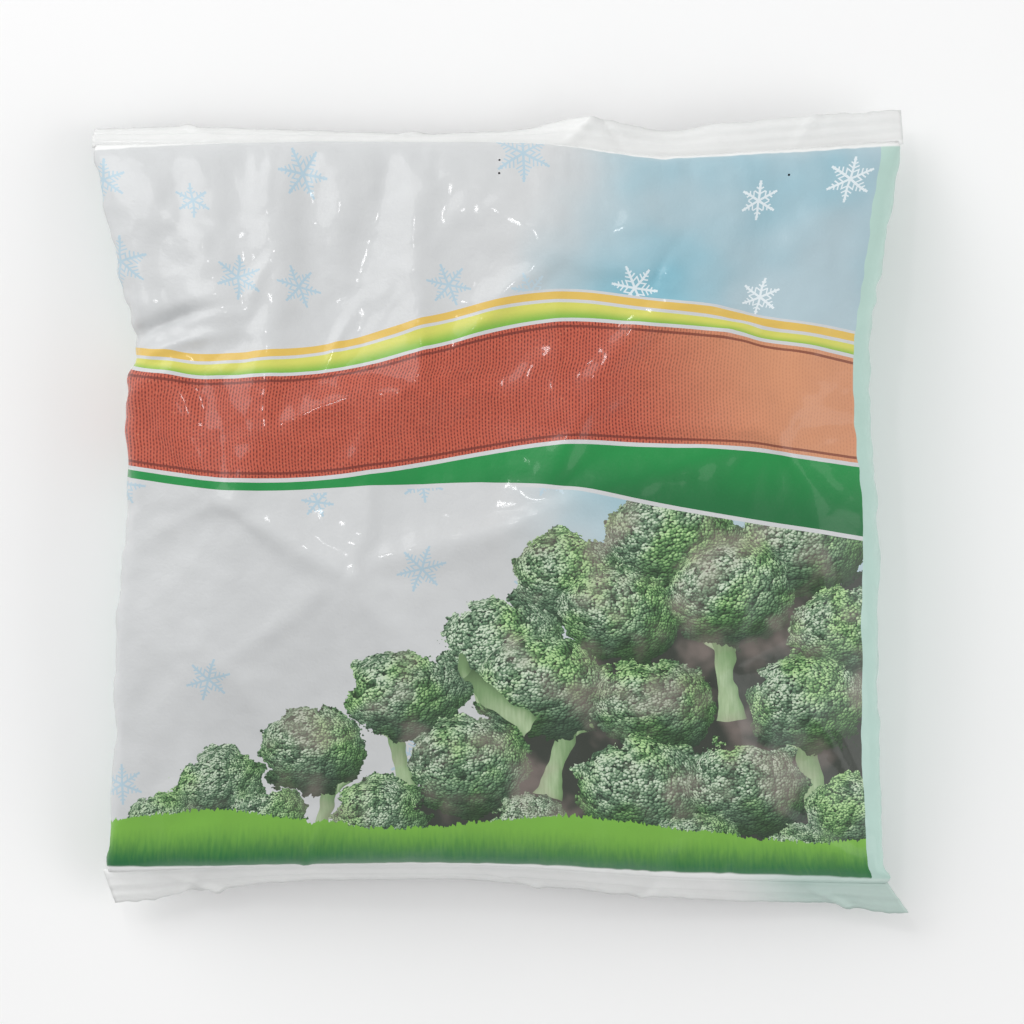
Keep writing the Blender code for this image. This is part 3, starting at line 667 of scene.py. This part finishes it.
def drawCrystals(wire, place):
    # six-armed snow crystals, at most one in each cell of a loose pattern
    apart = crystal["apart"]
    scaled = wire.vector("MULTIPLY", place, (1 / apart, 1 / apart, 0))
    tint, centre = wire.cells(scaled, 1.0, "2D", crystal["looseness"], out=(1, 2))
    local = wire.vector("MULTIPLY", wire.vector("SUBTRACT", scaled, centre), (apart, apart, 0))
    x, y = wire.node("ShaderNodeSeparateXYZ", None, {0: local}, (0, 1))
    red, green, blue = wire.node("ShaderNodeSeparateColor", None, {0: tint}, (0, 1, 2))
    reach = wire.vector("LENGTH", local, out=1)
    angle = wire.maths("ARCTAN2", y, x) + red * 6.0
    fold = wire.maths("PINGPONG", angle, math.pi / 6)
    along, beside = reach * wire.maths("COSINE", fold), reach * fold.sin()
    size = green * crystal["spread"] + crystal["least"]
    arm = beside < crystal["armHalf"]
    root = along - beside * crystal["slant"]
    step = crystal["branchStep"]
    branch = abs(wire.maths("PINGPONG", root, step) - step / 2) < crystal["branchHalf"]
    branch = branch * (beside < (size - root) * crystal["branchLength"]) * (root > crystal["bareMiddle"])
    return arm.most(branch) * (along < size) * (blue > crystal["leftOut"])


# The ribbons' widths, white lines and stitches, in millimetres
ribbon = dict(line=1.3, greenWide=(2.5, 21), greenFade=22, limeStart=1.1, limeEnd=0.9,
              ochre=(1.9, 4.2), whiteEnd=5.0, stitchInset=1.5, stitchHalf=0.4)


# Where the sky fades in, how dense its haze is, how strong the painted sheen over the heap is, and where
# the heap and its ground end
backdrop = dict(skyEdge=(18, 62), haze=(0.42, 0.92), crystals=0.85, paintedSheen=0.42, hollowReach=26,
                heapAcross=(-62, 75), heapTop=(-108, -16), heapBottom=-112, groundTop=-100,
                groundFade=(-109, -97), blades=4)


def drawFront(wire, place):
    u, v = wire.node("ShaderNodeSeparateXYZ", None, {0: place}, (0, 1))
    cloud = wire.noise(place, 0.018, 3.0)
    crystals = drawCrystals(wire, place)

    # white ground, with the sky field fading in to the right
    skyShare = (u + (v * 0.045).sin() * 12 + cloud * 40).rise(*backdrop["skyEdge"])
    skyTone = ((v + 40) / 140 + cloud * 0.4 - 0.2).rise(0.0, 1.0)
    sky = wire.blend(skyTone, design["skyLow"], design["skyHigh"])
    veil = wire.noise(place, 0.024, 2.0, 0.5, 0) + u * 0.0035
    sky = wire.blend(veil.rise(*backdrop["haze"]) * 0.85, sky, design["skyHaze"])
    colour = wire.blend(skyShare, design["white"], sky)
    snow = wire.blend(skyShare, design["paleBlue"], design["snow"])
    colour = wire.blend(crystals * backdrop["crystals"], colour, snow)

    # the heap on its strip of ground
    crown, isCrown = drawHeap(wire, place)
    hollow = (wire.noise(place, 0.11, 4.0, 0.62) - 0.5) * backdrop["hollowReach"]
    behind = v + hollow < u.rise(*backdrop["heapAcross"], *backdrop["heapTop"])
    colour = wire.blend(behind * (v > backdrop["heapBottom"]), colour, design["gap"])
    colour = wire.blend(isCrown, colour, crown)
    # painted sheen: pale mauve patches over the heap and its gap stand for the glossy film's reflection
    # of the room
    paintedSheen = wire.noise(place, 0.045, 3.0, 0.55).rise(0.48, 0.68)
    colour = wire.blend(paintedSheen * isCrown.most(behind) * backdrop["paintedSheen"], colour, design["haze"])
    turf = wire.noise(wire.vector("MULTIPLY", place, (1.0, 0.16, 1)), 1.1, 2.0)
    groundTop = (u * 0.052).sin() * 2.5 + backdrop["groundTop"] + turf * backdrop["blades"]
    groundShare = (v + turf * 5).rise(*backdrop["groundFade"])
    groundTone = wire.blend(groundShare, design["greenDeep"], design["lime"])
    colour = wire.blend(v < groundTop, colour, groundTone)

    # three ribbons that cross the front: brick canvas, green under it, lime and ochre over it
    middle = (u * 0.0265 + 0.5).sin() * 8.5 + 33
    half = (u * 0.021 + 1.2).sin() * 2.0 + 16.5
    away = v - middle
    line = ribbon["line"]
    greenWide = u.rise(-60, 85, *ribbon["greenWide"])
    below = 0.0 - away - half
    edge = (below > -1.0) * (below < greenWide + line * 2)
    colour = wire.blend(edge, colour, design["white"])
    deeper = (below / ribbon["greenFade"]).rise(0.0, 1.0)
    greenTone = wire.blend(deeper, design["green"], design["greenDeep"])
    colour = wire.blend((below > line) * (below < greenWide + line), colour, greenTone)
    above = away - half
    limeWide = (u * 0.03 + 2.2).sin() * 1.6 + 4.4
    edge = (above > -1.0) * (above < limeWide + ribbon["whiteEnd"])
    colour = wire.blend(edge, colour, design["white"])
    limeTone = wire.blend((above / limeWide).rise(0.15, 1.0), design["lime"], design["yellow"])
    inLime = (above > ribbon["limeStart"]) * (above < limeWide + ribbon["limeEnd"])
    colour = wire.blend(inLime, colour, limeTone)
    first, last = ribbon["ochre"]
    inOchre = (above > limeWide + first) * (above < limeWide + last)
    colour = wire.blend(inOchre, colour, design["ochre"])
    return drawCanvas(wire, place, u, v, away, half, colour), u, v


def drawCanvas(wire, place, u, v, away, half, colour):
    # the brick ribbon's woven cloth, paler to the right, with a stitched line inside each edge
    wander = wire.noise(place, 0.14, 2.0) * 6.0
    warp = (u * 6.6 + wander * 0.35).sin() * 0.5 + 0.5
    weft = (v * 5.0 + wander * 2.5 + (u * 3.3 + wander * 0.5).sin() * 2.2).sin() * 0.5 + 0.5
    slubs = wire.noise(wire.vector("MULTIPLY", place, (0.16, 1.9, 1)), 1.0, 2.0)
    slubsUp = wire.noise(wire.vector("MULTIPLY", place, (1.9, 0.16, 1)), 1.0, 2.0)
    canvas = 1.02 - warp * warp * (weft * 0.75 + 0.30) * 1.15 + slubs * 0.5 + slubsUp * 0.6 - 0.55
    flecks = wire.noise(place, 1.25, 2.0, 0.6).rise(0.60, 0.72)
    brick = wire.blend(canvas, design["brickDark"], design["brick"])
    brick = wire.blend(flecks * canvas * 0.45, brick, design["peach"])
    paler = (u + away * 0.3).rise(28, 96) * 0.9 + canvas * 0.15 - 0.05
    brick = wire.blend(paler, brick, design["peach"])
    stitched = abs(abs(away) - half + ribbon["stitchInset"]) < ribbon["stitchHalf"]
    brick = wire.blend(stitched * 0.75, brick, design["brickDark"])
    return wire.blend(abs(away) < half, colour, brick)


# The rest of the web: where mint and white begin, the back's panels, and the unprinted ends
webPrint = dict(mintLeft=119, mintRight=108.5, mintEnd=130, panelMiddle=174, panelHalf=(36, 84),
                panelLine=0.9, bareStart=(111.5, 112.3), seamStart=(218, 219), weldStart=(113.6, 114.6))


# The film's relief in the material, and its gloss
filmSkin = dict(crinkle=0.18, ridges=0.80, smallRidges=0.45, strength=0.30, distance=0.0008,
                roughness=0.38, specular=0.40, coat=0.30, coatRoughness=0.08)


def printedFilm():
    material, wire, shader = newMaterial("printedFilm")
    web = wire.node("ShaderNodeUVMap", dict(uv_map="web"))
    place = wire.vector("MULTIPLY", web, (1000, 1000, 0))
    colour, u, v = drawFront(wire, place)
    far = abs(u)
    cloud = wire.noise(place, 0.03, 2.0)

    # mint sides and a plain back with a bare bordered panel on each half
    mintStart = u.rise(-1, 1, webPrint["mintLeft"], webPrint["mintRight"])
    colour = wire.blend(far > mintStart, colour, design["mint"])
    colour = wire.blend(far > webPrint["mintEnd"], colour, design["white"])
    halfU, halfV = webPrint["panelHalf"]
    outside = (abs(far - webPrint["panelMiddle"]) - halfU).most(abs(v) - halfV)
    colour = wire.blend(abs(outside) < webPrint["panelLine"], colour, design["green"])

    # bare film at the seals and beside the back seam
    bare = (abs(v) + (u * 0.03).sin() * 0.8).rise(*webPrint["bareStart"])
    bare = bare.most(far.rise(*webPrint["seamStart"]))
    corner = (u + v * -0.25).rise(92, 120) * (v < 0) * (u < webPrint["mintEnd"])
    tinted = wire.blend(corner * 0.75, design["sealWhite"], design["mint"])
    colour = wire.blend(bare, colour, tinted)
    tone = wire.noise(place, 0.09, 3.0)
    colour = wire.blend(0.10, colour, wire.node("ShaderNodeValToRGB", None, {0: tone}), "MULTIPLY")

    scuffs = wire.noise(place, 0.35, 4.0, 0.65)
    welded = abs(v).rise(*webPrint["weldStart"])
    ridges = abs(wire.noise(place, 0.16, 3.0, 0.55) - 0.5)
    smallRidges = abs(wire.noise(place, 0.42, 2.0, 0.5) - 0.5)
    crinkle = wire.noise(place, 0.9, 2.0, 0.5)
    height = crinkle * filmSkin["crinkle"] - ridges * filmSkin["ridges"]
    height = height - smallRidges * filmSkin["smallRidges"]
    bump = wire.node("ShaderNodeBump", None, {"Strength": filmSkin["strength"],
                                              "Distance": filmSkin["distance"], "Height": height})
    connect(shader, Base_Color=colour, Roughness=scuffs * 0.16 + filmSkin["roughness"] + cloud * 0.05,
            Alpha=1.0 - welded * (cloud * 0.25 + 0.02), Normal=bump,
            Specular_IOR_Level=filmSkin["specular"], Coat_Weight=filmSkin["coat"],
            Coat_Roughness=filmSkin["coatRoughness"])
    return material


frost = dict(colour=paint(214, 224, 220), cover=0.45, size=210, edge=(0.52, 0.72), budSize=620)


def frozenBroccoli():
    material, wire, shader = newMaterial("frozenBroccoli")
    place = wire.node("ShaderNodeTexCoord", None, None, 3)
    buds = wire.cells(place, frost["budSize"], "3D")
    patches = wire.noise(place, 60, 3.0)
    # darker in the gaps between the buds and lighter at their middles: painted shade and painted
    # highlight, over a bump of the same buds
    colour = wire.node("ShaderNodeValToRGB", dict(stops=crownShades),
                       {0: (1.1 - buds * 0.9) * (patches * 0.8 + 0.3)})
    frosted = wire.noise(place, frost["size"], 3.0, 0.6).rise(*frost["edge"])
    colour = wire.blend(frosted * frost["cover"], colour, frost["colour"])
    bump = wire.node("ShaderNodeBump", None, {"Strength": 0.6, "Distance": 0.0008, "Height": 1.0 - buds})
    connect(shader, Base_Color=colour, Roughness=frosted * 0.2 + 0.6, Normal=bump)
    return material


def plainFloor():
    material, wire, shader = newMaterial("plainFloor")
    place = wire.node("ShaderNodeTexCoord", None, None, 3)
    tone = wire.noise(place, 2.2, 2.0)
    colour = wire.blend(tone, paint(246, 246, 246), paint(250, 250, 250))
    connect(shader, Base_Color=colour, Roughness=0.75)
    return material


print("stage: film")
points = startPoints()
points = simulateFilm(points)
points = setDown(points)
print("film spans", (points.min(0) * 1000).round(1), (points.max(0) * 1000).round(1))
film = dressFilm(points)

print("stage: seals and back seam")
topSeal = makeSeal("topSeal", topEnd)
bottomSeal = makeSeal("bottomSeal", bottomEnd)
seam = makeBackSeam(points)

print("stage: print and materials")
filmPrint = printedFilm()
for piece in (film, topSeal, bottomSeal, seam):
    piece.data.materials.clear()
    piece.data.materials.append(filmPrint)
    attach(piece, "root")
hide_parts("film")

broccoli = frozenBroccoli()
for name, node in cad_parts.items():
    if name.startswith("floret"):
        node.data.materials.clear()
        node.data.materials.append(broccoli)

print("stage: floor, lights and camera")
# The floor is a wide disc whose rim curves up out of sight
studio = dict(flatRadius=0.5, floorRadius=3.0, sweepRadius=1.6, sweepAngle=80, turnSteps=97,
              bendSteps=13, worldLight=0.62, cameraAway=1.25, lookAt=(0.0031, -0.00006, 0.018),
              frameWidth=0.289, sensor=36.0, lampsLookAt=(0, 0, 0.02))
turns = np.linspace(0, 2 * math.pi, studio["turnSteps"])[:-1]
bends = np.radians(np.linspace(0, studio["sweepAngle"], studio["bendSteps"]))
radii = studio["floorRadius"] + studio["sweepRadius"] * np.sin(bends)
radii = np.concatenate([[studio["flatRadius"]], radii])
heights = np.concatenate([[0.0], studio["sweepRadius"] * (1 - np.cos(bends))])
sweep = [(r * math.cos(turn), r * math.sin(turn), h) for turn in turns for r, h in zip(radii, heights)]
rings = np.arange(len(sweep)).reshape(len(turns), -1)
floorFaces = gridFaces(np.vstack([rings, rings[:1]]), True) + [rings[:, 0].tolist()]
ground = addMesh("floor", sweep, floorFaces)
ground.data.shade_smooth()
ground.data.materials.append(plainFloor())

# area lamps: place, size, watts
lamps = [("keyLight", (-0.95, 0.95, 0.75), 1.1, 12.0), ("fillLight", (1.25, -0.45, 0.8), 1.2, 7.5),
         ("glintLight", (-0.45, 0.80, 1.35), 0.10, 1.1)]
for name, where, size, power in lamps:
    data = bpy.data.lights.new(name, "AREA")
    data.size, data.energy = size, power
    lamp = bpy.data.objects.new(name, data)
    lamp.location = where
    aim = Vector(studio["lampsLookAt"]) - lamp.location
    lamp.rotation_euler = aim.to_track_quat("-Z", "Y").to_euler()
    scene.collection.objects.link(lamp)
world = bpy.data.worlds.new("studioWorld")
world.use_nodes = True
background = world.node_tree.nodes["Background"]
background.inputs["Color"].default_value = (1.0, 1.0, 1.0, 1.0)
background.inputs["Strength"].default_value = studio["worldLight"]
scene.world = world

cameraData = bpy.data.cameras.new("camera")
cameraData.sensor_width = studio["sensor"]
cameraData.lens = studio["sensor"] * studio["cameraAway"] / studio["frameWidth"]
camera = bpy.data.objects.new("camera", cameraData)
camera.location = Vector(studio["lookAt"]) + Vector((0, 0, studio["cameraAway"]))
scene.collection.objects.link(camera)
scene.camera = camera
